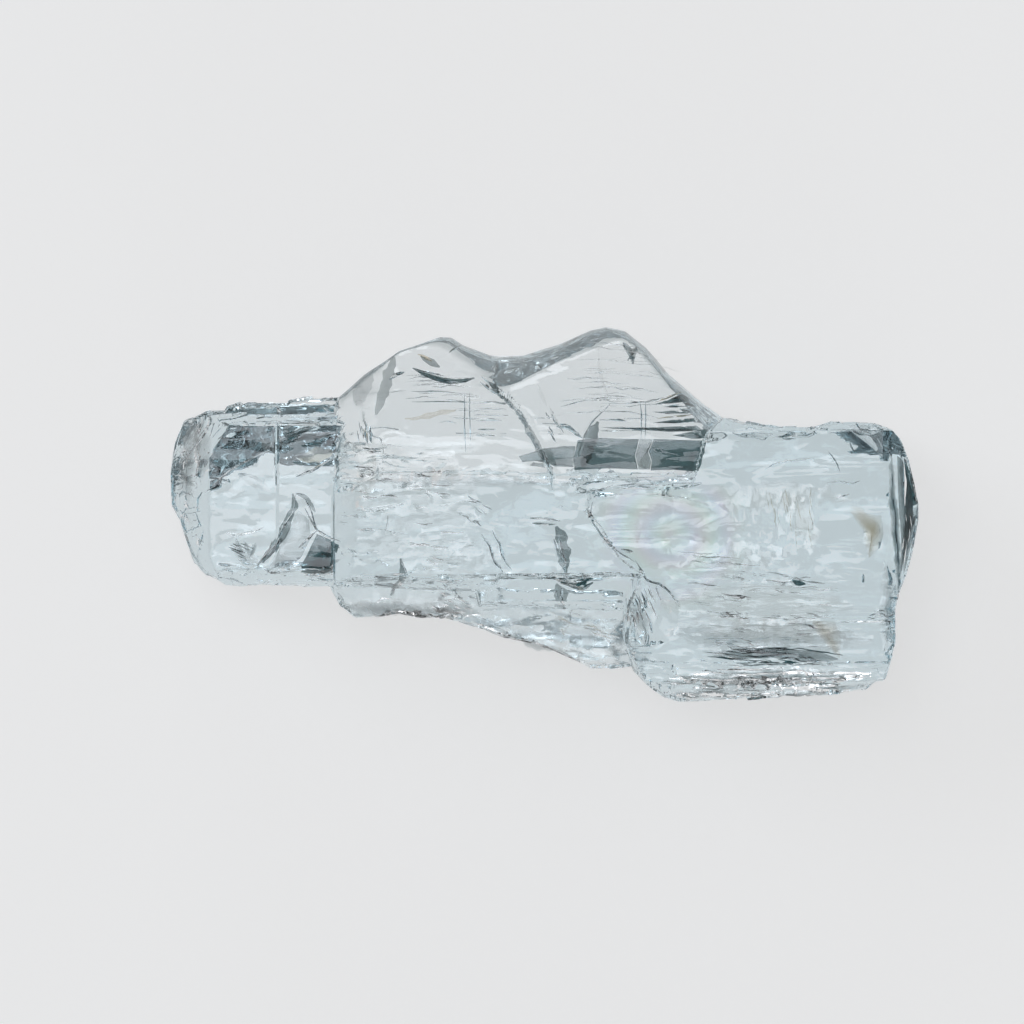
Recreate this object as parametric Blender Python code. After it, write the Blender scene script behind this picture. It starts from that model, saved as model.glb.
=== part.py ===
# An aquamarine crystal, 25 mm long: one broken and etched prism of clear beryl,
# lying on its flat back face. Its long axis runs along X, its fin points to +Y,
# and its broad front face looks up. The origin is under its middle, on the surface.
#
# The crystal grew as one piece, so it is one solid. It is worked out as blocks:
# each is an outline seen from above, cleaved by flat faces and hollowed by
# shell-shaped fractures. The blocks are joined, and worn edges are chipped.

import math
import random

import bmesh
import bpy
from mathutils import Euler, Matrix, Vector

MM = 0.001

# Driving dimensions, in millimetres
FRONT = 7.2          # height of the broad front face over the back face
HEAD_FRONT = 6.3     # the front face of the clean prism at the -X end
NECK_FRONT = 6.24    # the same face past a faint step, next to the core
BUTT_FRONT = 7.4     # the plate that covers the +X end
STRIP_FRONT = 6.55   # the low strip along the core's -Y side
FAINT_STEP = 0.03    # between faces of two blocks that look like one face
FIN_BACK = 3.8       # the fin is a plate from this height up
BACK_EDGE = 1.05     # where the flat back ends, under the fin's root
OVERCUT = 2.0        # how far a blank stands above and below what is cleaved
UNDERSIDE_STEP = 0.07    # each blank reaches this much deeper than the one before

# Turned about the long axis from straight up (0) towards +Y (90), in degrees
BEVEL = 62           # the narrow faces along the front's long edges
STEEP = 72
BACK_PRISM = 92      # the prism face under the fin's root
BACK_SLANT = 157     # the low faces along the other edges of the back


def facing(turn, lean=0.0):
    """The direction a face looks: turned about X from straight up, leaning to +X."""
    turn, lean = math.radians(turn), math.radians(lean)
    return Vector(
        (
            math.sin(lean),
            math.cos(lean) * math.sin(turn),
            math.cos(lean) * math.cos(turn),
        )
    )


# Each block has its outline from above, its faces, each as a point that it goes
# through and the way it looks, and the centres and radii of its hollows.
BLOCKS = {
    "core": {
        "outline": [
            (-7.0, -2.3), (-6.2, -2.45), (-3.4, -2.5), (-1.6, -2.6), (-0.8, 1.45), (-0.9, 1.7),
            (-6.9, 1.7), (-7.0, 1.0),
        ],
        "faces": [
            ((0, 0, FRONT), facing(0)),
            ((0, -2.05, FRONT), facing(-BEVEL)),
            ((-6.2, 0, FRONT), facing(5, -38)),
            ((0, BACK_EDGE + 0.05, 0), facing(BACK_PRISM)),
            ((0, -1.9, 0), facing(-BACK_SLANT)),
        ],
    },
    "core_middle": {
        "outline": [
            (-2.0, -2.15), (0.6, -2.2), (2.6, -2.3), (6.6, -3.2), (6.7, 1.72), (-2.0, 1.72),
        ],
        "faces": [
            ((0, 0, FRONT - FAINT_STEP), facing(0)),
            ((0, -2.02, FRONT), facing(-80)),
            ((0, BACK_EDGE, 0), facing(BACK_PRISM)),
            ((0, -1.95, 0), facing(-BACK_SLANT)),
        ],
    },
    "strip": {
        "outline": [(-2.2, -3.1), (0.6, -3.15), (2.95, -3.2), (2.95, -1.0), (-2.2, -1.0)],
        "faces": [
            ((0, -2.3, STRIP_FRONT), facing(-9)),
            ((0, -3.0, STRIP_FRONT - 0.15), facing(-BEVEL)),
            ((0, -2.3, 0.5), facing(-160)),
        ],
    },
    "tip": {
        "outline": [
            (-11.7, -1.6), (-11.3, -1.98), (-10.65, -2.36), (-8.9, -2.36), (-8.9, 3.3), (-10.6, 3.35),
            (-11.3, 3.3), (-11.78, 3.16), (-12.05, 3.05), (-12.35, 2.3), (-12.5, 1.3), (-12.45, 0.3),
            (-12.15, -0.2), (-11.9, -0.95),
        ],
        "faces": [
            ((0, 0, HEAD_FRONT), facing(0)),
            ((0, 2.96, HEAD_FRONT), facing(STEEP)),
            ((0, -1.86, HEAD_FRONT), facing(-BEVEL)),
            ((-11.2, 0.69, 0), facing(129.4, -28.1)),
            ((0, 2.07, 0), facing(118)),
            ((0, -1.75, 0), facing(-108)),
            ((-11.2, 0, HEAD_FRONT), facing(0, -42)),
            ((-11, 2.2, HEAD_FRONT), facing(38, -40)),
            ((-11.3, -1.2, HEAD_FRONT), facing(-35, -52)),
            ((-11.4, 0, 0), facing(180, -50)),
        ],
    },
    "neck": {
        "outline": [(-9.2, -2.36), (-6.8, -2.36), (-6.3, -1.4), (-6.5, 3.4), (-6.9, 3.4), (-9.2, 3.35)],
        "faces": [
            ((0, 0, NECK_FRONT), facing(0.6)),
            ((0, 2.96, NECK_FRONT), facing(STEEP)),
            ((0, -1.86, NECK_FRONT), facing(-BEVEL)),
            ((0, 1.6, 0), facing(122)),
            ((0, -1.72, 0), facing(-106)),
            ((-7.6, -1.3, 0), facing(-138.5, 34.5)),
        ],
    },
    "head_ledge": {
        "outline": [
            (-11.5, 2.6), (-5.4, 2.6), (-5.8, 4.3), (-6.9, 3.9), (-8.5, 3.78), (-8.6, 3.66), (-10.0, 3.7),
            (-10.6, 3.58), (-10.7, 3.42), (-11.3, 3.4), (-11.7, 3.2),
        ],
        "faces": [((0, 3.2, 5.15), facing(20)), ((0, 2.9, 2.6), facing(150))],
    },
    "fin": {
        "outline": [
            (-6.9, 0.8), (0.6, 0.8), (0.35, 1.6), (-0.1, 2.45), (-0.4, 3.35), (-1.0, 4.0), (-1.6, 4.5),
            (-1.2, 5.28), (-1.8, 5.34), (-2.7, 5.66), (-3.1, 5.92), (-3.5, 5.92), (-4.85, 5.43),
            (-6.0, 4.66), (-6.92, 3.85),
        ],
        "faces": [
            ((0, 0, FRONT - 3 * FAINT_STEP), facing(0)),
            ((0, 2.8, 7.15), facing(24)),
            ((-5.32, 3.6, 6.79), facing(32, -30)),
            ((-3.3, 4.6, 6.35), facing(34, 3)),
            ((-2.37, 4.69, 6.3), facing(60, 25)),
            ((0, 0, FIN_BACK), facing(180)),
        ],
    },
    "fin_peak": {
        "outline": [
            (0.5, 0.7), (6.3, 0.7), (6.2, 3.1), (5.3, 3.72), (4.2, 4.66), (3.45, 5.57), (2.75, 6.12),
            (2.1, 6.28), (1.55, 6.17), (0.55, 5.7), (-0.7, 5.3), (-1.7, 5.3), (-2.3, 4.9),
            (-2.04, 4.32), (-1.26, 3.85), (-0.66, 3.25), (-0.32, 2.41), (0.19, 1.5),
        ],
        "faces": [
            ((0, 0, FRONT - 4 * FAINT_STEP), facing(0)),
            ((0, 3.3, 7.1), facing(22)),
            ((3.13, 5.19, 6.25), facing(60, 36)),
            ((0.8, 5.05, 6.2), facing(62, -15)),
            ((0, 0, FIN_BACK - FAINT_STEP), facing(180)),
            ((5.6, 2.6, FIN_BACK), facing(165, 48)),
        ],
        "hollows": [((2.6, 7.3, 15.52), (11.0, 9.0, 9.72))],
    },
    "ledge": {
        "outline": [
            (-7.15, -1.6), (-7.05, -2.5), (-6.7, -3.1), (-6.3, -3.45), (-5.6, -3.42),
            (-4.9, -3.3), (-4.0, -3.48), (-3.3, -3.42), (-2.2, -3.75), (-1.4, -4.1),
            (-0.2, -4.3), (0.9, -4.82), (1.6, -5.12), (3.2, -5.1), (4.0, -1.8), (-2.0, -1.2),
        ],
        "faces": [
            ((0, -2.3, 5.9), facing(-16)),
            ((0, -3.4, 5.5), facing(-40, -4)),
            ((0, -2.4, 0.8), facing(-164)),
            ((-6.6, -2.6, 5.6), facing(-20, -50)),
        ],
    },
    "butt": {
        "outline": [
            (2.72, -2.9), (2.75, -4.3), (3.15, -5.0), (3.4, -5.6), (6.0, -5.6), (11.4, -5.55),
            (11.76, -4.3), (11.74, -3.2), (11.85, -2.65), (12.1, -2.0), (12.3, -1.3),
            (12.5, -0.2), (12.5, 0.3), (12.36, 1.0), (12.16, 1.8), (11.9, 2.5),
            (11.66, 2.78), (11.0, 2.98), (9.64, 3.01), (8.9, 2.78), (7.9, 2.8),
            (6.9, 2.98), (6.0, 3.2), (5.4, 2.6), (4.9, 0.95), (1.55, 0.85), (1.4, 0.1),
            (1.95, -0.6), (2.5, -1.5), (3.3, -1.95), (3.05, -2.5),
        ],
        "faces": [
            ((0, 0, BUTT_FRONT), facing(0)),
            ((0, -5.0, BUTT_FRONT), facing(-46)),
            ((0, 2.8, BUTT_FRONT), facing(58)),
            ((11.72, 0, BUTT_FRONT), facing(2, 24)),
            ((0, 2.75, 0), facing(104)),
            ((0, -4.42, 0), facing(-BACK_SLANT)),
            ((11.55, 1.87, 0), facing(173, 64)),
            ((9.57, 2.81, 0), facing(129, 24.2)),
        ],
        "hollows": [((3.6, -3.3, 9.3), (1.5, 2.0, 2.3))],
    },
    "lower_step": {
        "outline": [
            (3.1, -5.3), (3.5, -5.7), (4.05, -6.1), (4.75, -6.31), (5.6, -6.2), (6.9, -6.15),
            (8.8, -6.04), (9.9, -5.98), (10.8, -5.87), (11.35, -5.4), (11.55, -4.9),
            (11.3, -3.9), (3.2, -3.9), (2.9, -4.8),
        ],
        "faces": [
            ((0, -5.45, 6.2), facing(-24)),
            ((0, -5.9, 5.9), facing(-58)),
            ((0, -4.6, 0.9), facing(-153)),
            ((10.9, -5.3, 5.2), facing(-30, 40)),
            ((3.6, -5.3, 5.4), facing(-25, -45)),
        ],
    },
}

# Worn edges: from, to, how many chips are broken out and how deep
WORN_EDGES = [
    ((-11.2, -1.5, 6.3), (-11.1, 2.6, 6.2), 5, 0.28),      # the tip's front edge
    ((-12.3, -0.6, 3.6), (-12.3, 2.3, 3.6), 4, 0.22),      # the tip's end
    ((-6.3, -1.7, 7.2), (-6.2, 2.4, 7.2), 4, 0.3),         # the step up to the core
    ((-6.0, -3.0, 5.7), (2.0, -4.7, 5.1), 12, 0.42),       # the etched ledge
    ((-6.2, -3.35, 2.2), (1.5, -4.9, 2.6), 7, 0.34),       # its underside
    ((3.8, -5.75, 6.0), (11.0, -5.7, 6.0), 9, 0.3),        # the butt's lower step
    ((2.9, -3.0, 7.3), (3.4, -5.0, 7.2), 3, 0.28),         # the butt's corner
    ((11.9, -4.6, 6.4), (12.2, 1.9, 5.9), 5, 0.26),        # the butt's end
    ((5.6, 3.0, 6.2), (10.8, 2.95, 7.1), 5, 0.2),          # the butt's +Y edge
    ((-3.6, 5.6, 5.2), (1.4, 5.9, 5.0), 5, 0.24),          # the fin's rim
]
WORN_EDGE_SEED = 7
CHIP_SIZE = 1.5          # side of the cube whose corner breaks a chip out

HOLLOW_SEGMENTS = 36
HOLLOW_RINGS = 18

CRYSTAL_BLUE = (0.62, 0.78, 0.84, 1.0)


def clear_scene():
    for thing in list(bpy.data.objects):
        bpy.data.objects.remove(thing, do_unlink=True)


def collection(name, shown=True):
    made = bpy.data.collections.new(name)
    bpy.context.scene.collection.children.link(made)
    made.hide_render = not shown
    return made


def helper(name, mesh, into):
    """A block, hollow or chip is only a step on the way to the crystal."""
    obj = bpy.data.objects.new(name, mesh)
    obj.hide_render = True
    obj.display_type = "WIRE"
    into.objects.link(obj)
    return obj


def blank(name, outline, overcut):
    """The outline as a flat curve, extruded well past the faces that cleave it."""
    half = BUTT_FRONT / 2 + overcut
    curve = bpy.data.curves.new(name, "CURVE")
    curve.dimensions = "2D"
    curve.fill_mode = "BOTH"
    curve.extrude = half * MM
    spline = curve.splines.new("POLY")
    spline.points.add(len(outline) - 1)
    for point, (x, y) in zip(spline.points, outline):
        point.co = (x * MM, y * MM, 0, 1)
    spline.use_cyclic_u = True
    flat = bpy.data.objects.new(name + "_outline", curve)
    flat.location.z = BUTT_FRONT / 2 * MM
    bpy.context.scene.collection.objects.link(flat)
    bpy.context.view_layer.update()

    graph = bpy.context.evaluated_depsgraph_get()
    mesh = bpy.data.meshes.new_from_object(flat.evaluated_get(graph))
    mesh.transform(flat.matrix_world)
    bpy.data.objects.remove(flat)
    return mesh


def cleave(mesh, faces):
    """Cuts the mesh by each face and closes the cut."""
    bm = bmesh.new()
    bm.from_mesh(mesh)
    bmesh.ops.remove_doubles(bm, verts=bm.verts, dist=1e-7)
    for through, look in faces:
        cut = bmesh.ops.bisect_plane(
            bm,
            geom=bm.verts[:] + bm.edges[:] + bm.faces[:],
            dist=1e-9,
            plane_co=Vector(through) * MM,
            plane_no=look,
            clear_outer=True,
        )
        edges = [e for e in cut["geom_cut"] if isinstance(e, bmesh.types.BMEdge)]
        bmesh.ops.triangle_fill(bm, use_beauty=True, use_dissolve=False, edges=edges)
    bmesh.ops.dissolve_limit(
        bm, angle_limit=math.radians(0.1), verts=bm.verts, edges=bm.edges
    )
    bmesh.ops.recalc_face_normals(bm, faces=bm.faces)
    bm.to_mesh(mesh)
    bm.free()


def hollow(name, centre, radii, into):
    """A shell-shaped fracture, as the ellipsoid that is taken out."""
    bm = bmesh.new()
    bmesh.ops.create_uvsphere(
        bm, u_segments=HOLLOW_SEGMENTS, v_segments=HOLLOW_RINGS, radius=1
    )
    size = Matrix.Diagonal((*(r * MM for r in radii), 1))
    bm.transform(Matrix.Translation(Vector(centre) * MM) @ size)
    mesh = bpy.data.meshes.new(name)
    bm.to_mesh(mesh)
    bm.free()
    return helper(name, mesh, into)


def chips(into):
    """Cubes at random turns, each with a corner that reaches into a worn edge."""
    dice = random.Random(WORN_EDGE_SEED)
    made = []
    for start, end, count, depth in WORN_EDGES:
        start, end = Vector(start), Vector(end)
        for i in range(count):
            point = start.lerp(end, (i + dice.uniform(0.1, 0.9)) / count)
            turn = Euler([dice.uniform(0, math.tau) for _ in range(3)]).to_matrix().to_4x4()
            away = Vector((0.15 * point.x, point.y, 1.6 * (point.z - FRONT / 2))).normalized()
            reach = CHIP_SIZE / 2 * dice.uniform(1.0, 1.3) - depth * dice.uniform(0.3, 1.0)
            bm = bmesh.new()
            bmesh.ops.create_cube(bm, size=CHIP_SIZE * MM)
            bm.transform(Matrix.Translation((point + away * reach) * MM) @ turn)
            mesh = bpy.data.meshes.new("chip")
            bm.to_mesh(mesh)
            bm.free()
            made.append(helper("chip", mesh, into))
    return made


def work_in(obj):
    """Gives the object the mesh that its modifiers make."""
    bpy.context.view_layer.update()
    graph = bpy.context.evaluated_depsgraph_get()
    mesh = bpy.data.meshes.new_from_object(obj.evaluated_get(graph))
    obj.modifiers.clear()
    obj.data = mesh


def add_boolean(obj, operation, other):
    modifier = obj.modifiers.new(other.name, "BOOLEAN")
    modifier.operation = operation
    modifier.object = other
    modifier.solver = "EXACT"


def crystal_material():
    material = bpy.data.materials.new("clear pale blue beryl")
    material.use_nodes = True
    shader = material.node_tree.nodes["Principled BSDF"]
    shader.inputs["Base Color"].default_value = CRYSTAL_BLUE
    shader.inputs["Roughness"].default_value = 0.05
    shader.inputs["Metallic"].default_value = 0.0
    shader.inputs["IOR"].default_value = 1.575
    shader.inputs["Transmission Weight"].default_value = 1.0
    return material


def main():
    clear_scene()
    shown = collection("aquamarine crystal")
    blocks = collection("blocks", shown=False)
    cutters = collection("cutters", shown=False)

    for i, (name, block) in enumerate(BLOCKS.items()):
        mesh = blank(name, block["outline"], OVERCUT + UNDERSIDE_STEP * i)
        cleave(mesh, block["faces"])
        obj = helper(name, mesh, blocks)
        for centre, radii in block.get("hollows", []):
            add_boolean(obj, "DIFFERENCE", hollow(name + "_hollow", centre, radii, cutters))
        work_in(obj)

    first, *others = blocks.objects
    crystal = bpy.data.objects.new("aquamarine_crystal", first.data.copy())
    shown.objects.link(crystal)
    for block in others:
        add_boolean(crystal, "UNION", block)
    for chip in chips(cutters):
        add_boolean(crystal, "DIFFERENCE", chip)
    work_in(crystal)
    cleave(crystal.data, [((0, 0, 0), facing(180))])
    crystal.data.materials.clear()
    crystal.data.materials.append(crystal_material())


main()
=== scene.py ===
import math

import bpy
import numpy as np
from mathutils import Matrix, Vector


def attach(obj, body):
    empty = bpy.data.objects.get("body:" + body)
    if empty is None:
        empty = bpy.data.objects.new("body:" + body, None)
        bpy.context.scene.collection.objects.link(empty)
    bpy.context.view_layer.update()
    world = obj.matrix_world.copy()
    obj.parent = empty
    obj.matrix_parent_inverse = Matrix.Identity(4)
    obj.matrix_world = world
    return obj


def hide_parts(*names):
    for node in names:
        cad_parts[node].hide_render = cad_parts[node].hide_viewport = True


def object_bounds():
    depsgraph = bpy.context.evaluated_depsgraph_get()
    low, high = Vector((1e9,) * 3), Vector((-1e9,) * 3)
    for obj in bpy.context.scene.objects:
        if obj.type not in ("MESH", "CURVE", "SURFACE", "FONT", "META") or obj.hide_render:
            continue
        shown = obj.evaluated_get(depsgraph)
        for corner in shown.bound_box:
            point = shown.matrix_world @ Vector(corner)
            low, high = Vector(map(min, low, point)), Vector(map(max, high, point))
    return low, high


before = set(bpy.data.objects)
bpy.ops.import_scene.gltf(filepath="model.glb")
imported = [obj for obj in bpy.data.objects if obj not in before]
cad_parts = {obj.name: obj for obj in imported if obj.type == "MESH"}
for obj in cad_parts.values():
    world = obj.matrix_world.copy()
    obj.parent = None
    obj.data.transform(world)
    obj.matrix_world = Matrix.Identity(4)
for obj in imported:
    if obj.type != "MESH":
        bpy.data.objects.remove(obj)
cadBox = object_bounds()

mm = 0.001          # shapes are worked out in millimetres and written in metres
pixel = 0.03365     # what one pixel of the reference picture measures on the crystal, mm
centre = (543.5, 513.5)     # the pixel over the crystal's origin
print("frame loaded")


def place(px, py):
    # millimetres from the origin for a pixel of the reference picture
    return ((px - centre[0]) * pixel, (centre[1] - py) * pixel)


def facing(turn, lean=0.0):
    # the way a face looks: turned about X from straight up, then leaned towards +X, in degrees
    turn, lean = math.radians(turn), math.radians(lean)
    return (math.sin(lean), math.cos(lean) * math.sin(turn), math.cos(lean) * math.cos(turn))


# The crystal is a union of blocks. Each is an outline seen from above and the faces that cleave it,
# each face a point that it goes through and the way it looks, in mm.
crystal = {
    "spine": (-10.4, 10.4, 0.0, 4.0),       # from x, to x, y and z of the line that the rays start from
    "reach": (13.0, 6.7, 4.1),              # half sizes of the box that the rays are aimed at
    "columns": 660,
    "rows": (300, 130, 120, 110),           # rays aimed at the box's top, +Y side, bottom and -Y side
    "crease": 0.05,                         # rounding of every edge
    "triangles": 120000,                    # what the outer surface is thinned to, about
    "sharpAngle": 16,                       # degrees between faces from which an edge stays sharp
    "blocks": {
        "coreLeft": {
            "outline": [
                (-7.0, -2.3), (-6.2, -2.45), (-3.4, -2.5), (-1.6, -2.6), (-0.8, 1.45), (-0.9, 1.7),
                (-6.9, 1.7),
                (-7.0, 1.0),
            ],
            "faces": [
                ((0, 0, 7.2), facing(0)), ((0, -2.05, 7.2), facing(-62)), ((-6.2, 0, 7.2), facing(5, -38)),
                ((0, 1.1, 0), facing(92)), ((0, -1.9, 0), facing(-157)),
            ],
        },
        "coreRight": {
            "outline": [
                (-2.0, -2.15), (0.6, -2.2), (2.6, -2.3), (6.6, -3.2), (6.7, 1.7), (-2.0, 1.7),
            ],
            "faces": [
                ((0, 0, 7.17), facing(0)), ((0, -2.02, 7.2), facing(-80)),
                ((0, 1.05, 0), facing(92)), ((0, -1.95, 0), facing(-157)),
            ],
        },
        "strip": {
            "outline": [(-2.2, -3.1), (0.6, -3.15), (2.95, -3.2), (2.95, -1.0), (-2.2, -1.0)],
            "faces": [
                ((0, -2.3, 6.55), facing(-9)), ((0, -3.0, 6.4), facing(-62)), ((0, -2.3, 0.5), facing(-160)),
            ],
        },
        "tip": {
            "outline": [
                (-11.7, -1.6), (-11.3, -1.98), (-10.65, -2.36), (-8.9, -2.36), (-8.9, 3.3), (-10.6, 3.35),
                (-11.3, 3.3), (-11.78, 3.16), (-12.05, 3.05), (-12.35, 2.3), (-12.5, 1.3), (-12.45, 0.3),
                (-12.15, -0.2), (-11.9, -0.95),
            ],
            "faces": [
                ((0, 0, 6.3), facing(0)), ((0, 2.96, 6.3), facing(72)), ((0, -1.86, 6.3), facing(-62)),
                ((-11.2, 0.69, 0), facing(129.4, -28.1)), ((0, 2.07, 0), facing(118)),
                ((0, -1.75, 0), facing(-108)),
                ((-11.2, 0.0, 6.3), facing(0, -42)), ((-11.0, 2.2, 6.3), facing(38, -40)),
                ((-11.3, -1.2, 6.3), facing(-35, -52)), ((-11.4, 0.0, 0), facing(180, -50)),
            ],
        },
        "neck": {
            "outline": [
                (-9.2, -2.36), (-6.8, -2.36), (-6.3, -1.4), (-6.5, 3.4), (-6.9, 3.4), (-9.2, 3.35),
            ],
            "faces": [
                ((0, 0, 6.24), facing(0.6)), ((0, 2.96, 6.24), facing(72)), ((0, -1.86, 6.24), facing(-62)),
                ((0, 1.6, 0), facing(122)), ((0, -1.75, 0), facing(-108)),
                ((-7.6, -1.3, 0), facing(-138.5, 34.5)),
            ],
        },
        "headLedge": {
            "outline": [
                (-11.5, 2.6), (-5.4, 2.6), (-5.8, 4.3), (-6.9, 3.9), (-8.5, 3.78), (-8.6, 3.66), (-10.0, 3.7),
                (-10.6, 3.58), (-10.7, 3.42), (-11.3, 3.4), (-11.7, 3.2),
            ],
            "faces": [((0, 3.2, 5.15), facing(20)), ((0, 2.9, 2.6), facing(150))],
        },
        "finLeft": {
            "crease": 0.35,
            "outline": [
                (-6.9, 0.8), (0.6, 0.8), (0.35, 1.6), (-0.1, 2.45), (-0.4, 3.35), (-1.0, 4.0),
                (-1.6, 4.5), (-1.2, 5.28),
                (-1.8, 5.34), (-2.7, 5.66), (-3.1, 5.92), (-3.5, 5.92), (-4.85, 5.43), (-6.0, 4.66),
                (-6.9, 3.85),
            ],
            "faces": [
                ((0, 0, 7.11), facing(0)), ((0, 2.8, 7.15), facing(24)),
                ((-5.32, 3.6, 6.79), facing(32, -30)),
                ((-3.3, 4.6, 6.35), facing(34, 3)), ((-2.37, 4.69, 6.3), facing(60, 25)),
                ((0, 0, 3.8), facing(180)),
            ],
        },
        "finRight": {
            "crease": 0.35,
            "outline": [
                (0.5, 0.7), (6.3, 0.7), (6.2, 3.1), (5.3, 3.72), (4.2, 4.66), (3.45, 5.57), (2.75, 6.12),
                (2.1, 6.28),
                (1.55, 6.17), (0.55, 5.7), (-0.7, 5.3), (-1.7, 5.3), (-2.3, 4.9), (-2.04, 4.32),
                (-1.26, 3.85),
                (-0.66, 3.25), (-0.32, 2.41), (0.19, 1.5),
            ],
            "faces": [
                ((0, 0, 7.08), facing(0)), ((0, 3.3, 7.1), facing(22)), ((3.13, 5.19, 6.25), facing(60, 36)),
                ((0.8, 5.05, 6.2), facing(62, -15)), ((0, 0, 3.8), facing(180)),
                ((5.6, 2.6, 3.8), facing(165, 48)),
            ],
        },
        "ledge": {
            "outline": [
                (-7.15, -1.6), (-7.05, -2.5), (-6.7, -3.1), (-6.3, -3.45), (-5.6, -3.42),
                (-4.9, -3.3), (-4.0, -3.48), (-3.3, -3.42), (-2.2, -3.75), (-1.4, -4.1),
                (-0.2, -4.3), (0.9, -4.82), (1.6, -5.12), (3.2, -5.1), (4.0, -1.8), (-2.0, -1.2),
            ],
            "faces": [
                ((0, -2.3, 5.9), facing(-16)), ((0, -3.4, 5.5), facing(-40, -4)),
                ((0, -2.4, 0.8), facing(-164)),
                ((-6.6, -2.6, 5.6), facing(-20, -50)),
            ],
        },
        "butt": {
            "outline": [
                (2.72, -2.9), (2.75, -4.3), (3.15, -5.0), (3.4, -5.6), (6.0, -5.6), (11.4, -5.55),
                (11.76, -4.3), (11.74, -3.2), (11.85, -2.65), (12.1, -2.0), (12.3, -1.3),
                (12.5, -0.2), (12.5, 0.3), (12.36, 1.0), (12.16, 1.8), (11.9, 2.5),
                (11.66, 2.78), (11.0, 2.98), (9.64, 3.01), (8.9, 2.78), (7.9, 2.8),
                (6.9, 2.98), (6.0, 3.2), (5.4, 2.6), (4.9, 0.95), (1.55, 0.85), (1.4, 0.1),
                (1.95, -0.6), (2.5, -1.5), (3.3, -1.95), (3.05, -2.5),
            ],
            "faces": [
                ((0, 0, 7.4), facing(0)), ((0, -5.0, 7.4), facing(-46)), ((0, 2.8, 7.4), facing(58)),
                ((11.72, 0, 7.4), facing(2, 24)), ((0, 2.75, 0), facing(104)), ((0, -4.42, 0), facing(-157)),
                ((11.55, 1.87, 0), facing(173, 64)), ((9.57, 2.81, 0), facing(129, 24.2)),
            ],
        },
        "lowerStep": {
            "outline": [
                (3.1, -5.3), (3.5, -5.7), (4.05, -6.1), (4.75, -6.31), (5.6, -6.2), (6.9, -6.15),
                (8.8, -6.04), (9.9, -5.98), (10.8, -5.87), (11.35, -5.4), (11.55, -4.9),
                (11.3, -3.9), (3.2, -3.9), (2.9, -4.8),
            ],
            "faces": [
                ((0, -5.45, 6.2), facing(-24)), ((0, -5.9, 5.9), facing(-58)), ((0, -4.6, 0.9), facing(-153)),
                ((10.9, -5.3, 5.2), facing(-30, 40)), ((3.6, -5.3, 5.4), facing(-25, -45)),
            ],
        },
    },
    # shell-shaped hollows: which block, centre and radii
    "scoops": [
        ("finRight", (2.6, 7.3, 15.52), (11.0, 9.0, 9.72)),
        ("butt", (3.6, -3.3, 9.3), (1.5, 2.0, 2.3)),
    ],
}


def softMax(a, b, k):
    # the larger of two distances, with the crease between them rounded over k
    h = np.clip(0.5 + 0.5 * (a - b) / k, 0, 1)
    return b + (a - b) * h + k * h * (1 - h)


def smooth(edge0, edge1, value):
    # 0 before the first edge, 1 past the second, and t squared times 3 less 2 t between them
    t = np.clip((value - edge0) / (edge1 - edge0), 0, 1)
    return t * t * (3 - 2 * t)


def outlineField(outline, step=0.05):
    # distance to an outline's sides on a grid seen from above, negative inside
    xs = np.arange(-13.6, 13.6, step)
    ys = np.arange(-7.4, 7.4, step)
    px, py = np.meshgrid(xs, ys, indexing="ij")
    near = np.full(px.shape, 1e9)
    inside = np.zeros(px.shape, bool)
    corners = np.array(outline, float)
    for (ax, ay), (bx, by) in zip(corners, np.roll(corners, -1, axis=0)):
        ex, ey = bx - ax, by - ay
        t = np.clip(((px - ax) * ex + (py - ay) * ey) / (ex * ex + ey * ey), 0, 1)
        near = np.minimum(near, np.hypot(px - ax - t * ex, py - ay - t * ey))
        if ey != 0:
            inside ^= ((ay > py) != (by > py)) & (px < ax + ex * (py - ay) / ey)
    return np.where(inside, -near, near), xs[0], ys[0], step


def readField(field, x, y):
    # the distance at any place, blended from the four grid places round it
    values, x0, y0, step = field
    u = np.clip((x - x0) / step, 0, values.shape[0] - 1.001)
    v = np.clip((y - y0) / step, 0, values.shape[1] - 1.001)
    i, j = u.astype(int), v.astype(int)
    u, v = u - i, v - j
    low = values[i, j] * (1 - v) + values[i, j + 1] * v
    high = values[i + 1, j] * (1 - v) + values[i + 1, j + 1] * v
    return low * (1 - u) + high * u


fields = {name: outlineField(block["outline"]) for name, block in crystal["blocks"].items()}


def solidDistance(x, y, z):
    # union of the blocks, each the common part of its outline and faces less its scoops. A block is worked
    # out only near it, and far from all of them the distance stays at 5 mm
    solid = np.full(x.shape, 5.0)
    for name, block in crystal["blocks"].items():
        k = block.get("crease", crystal["crease"])
        xs = [corner[0] for corner in block["outline"]]
        near = np.nonzero((x > min(xs) - 0.3) & (x < max(xs) + 0.3))
        bx, by, bz = x[near], y[near], z[near]
        d = readField(fields[name], bx, by)
        for (px, py, pz), (nx, ny, nz) in block["faces"]:
            d = softMax(d, (bx - px) * nx + (by - py) * ny + (bz - pz) * nz, k)
        for owner, (cx, cy, cz), (rx, ry, rz) in crystal["scoops"]:
            if owner == name:
                r = np.sqrt(((bx - cx) / rx) ** 2 + ((by - cy) / ry) ** 2 + ((bz - cz) / rz) ** 2)
                d = softMax(d, (1 - r) * min(rx, ry, rz), k)
        solid[near] = -softMax(-solid[near], -d, crystal["crease"])
    return softMax(solid, -z, crystal["crease"])


def frontHeight(x, y):
    # height of the front over a place seen from above, found by halving between 2 and 8 mm. Where the crystal
    # has no front it gives 2 mm
    low, high = np.full(x.shape, 2.0), np.full(x.shape, 8.0)
    for step in range(12):
        middle = (low + high) / 2
        inside = solidDistance(x, y, middle) < 0
        low, high = np.where(inside, middle, low), np.where(inside, high, middle)
    return low


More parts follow.
